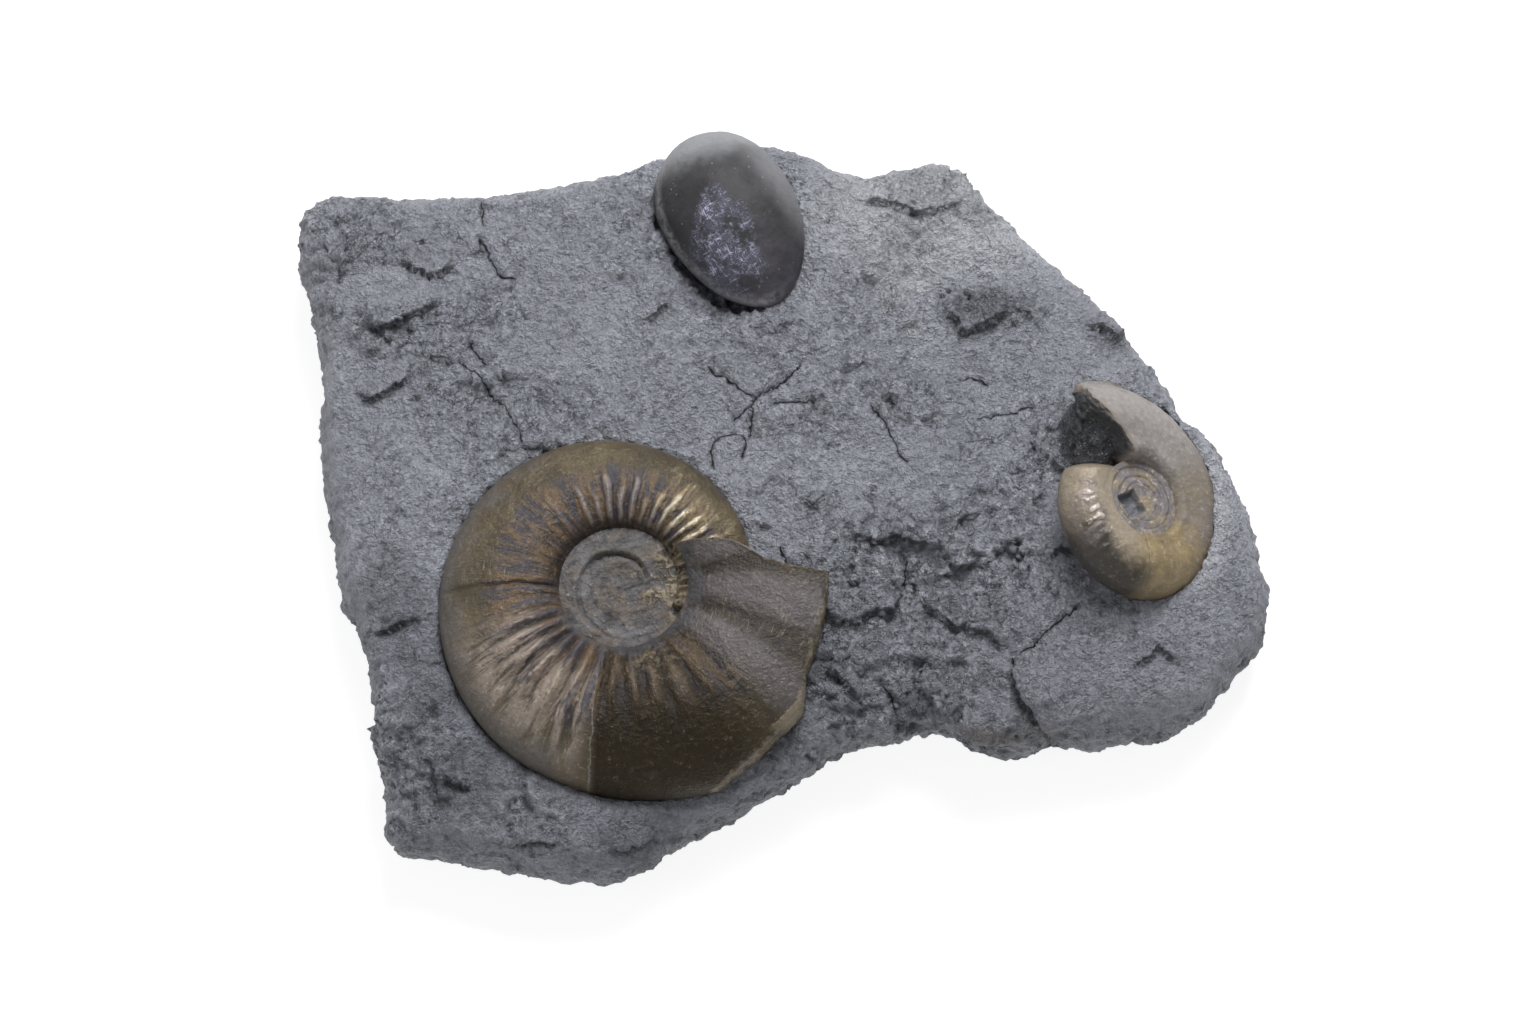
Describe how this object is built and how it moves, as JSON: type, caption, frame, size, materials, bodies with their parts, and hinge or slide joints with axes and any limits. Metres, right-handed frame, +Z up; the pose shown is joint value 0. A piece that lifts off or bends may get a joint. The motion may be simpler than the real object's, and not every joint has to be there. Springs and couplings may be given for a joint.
{
  "type": "ammonite fossils in shale slab",
  "caption": "Loose slab of blue-grey shale with a ribbed coiled ammonite, a smaller tilted one and a smooth egg-shaped one standing out of its upper face.",
  "frame": {"origin": "middle of the slab's flat underside", "axes": "+Z up out of the slab's upper face, +X along the slab's longest side to the right, +Y to its upper edge"},
  "size_m": [0.1176, 0.0914, 0.024],
  "materials": {
    "shale": "rough, finely granular",
    "bronze_pyrite": "satin, polished",
    "olive_pyrite": "satin with a dusty skin",
    "dark_shell": "glossy"
  },
  "bodies": {
    "root": {"shale_slab": "shale", "large_ammonite": "bronze_pyrite", "small_ammonite": "olive_pyrite", "smooth_ammonite": "dark_shell"}
  },
  "joints": []
}
